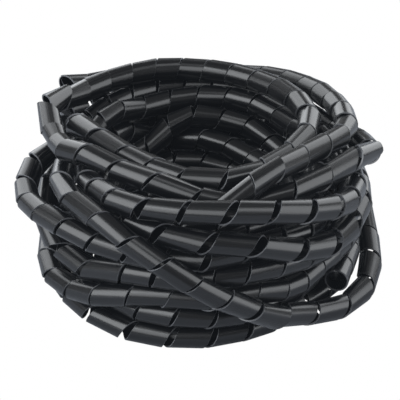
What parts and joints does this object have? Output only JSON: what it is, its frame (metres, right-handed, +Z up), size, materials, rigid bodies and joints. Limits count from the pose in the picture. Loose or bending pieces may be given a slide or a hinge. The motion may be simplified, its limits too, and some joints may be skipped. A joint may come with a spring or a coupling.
{
  "type": "spiral cable wrap",
  "caption": "Black polyethylene spiral cable wrap: a hollow tube slit along a left-handed helix, new stock coiled by hand into a loose hank that lies flat.",
  "frame": {"origin": "on the floor, under the middle of the hank's box", "axes": "+Z up along the hank's bore, -Y towards the side that the picture shows, where the slanting strand crosses the front"},
  "size_m": [0.2342, 0.255, 0.1194],
  "materials": {
    "black_polyethylene": "satin gloss"
  },
  "bodies": {
    "root": {"spiral_wrap": "black_polyethylene"}
  },
  "joints": []
}
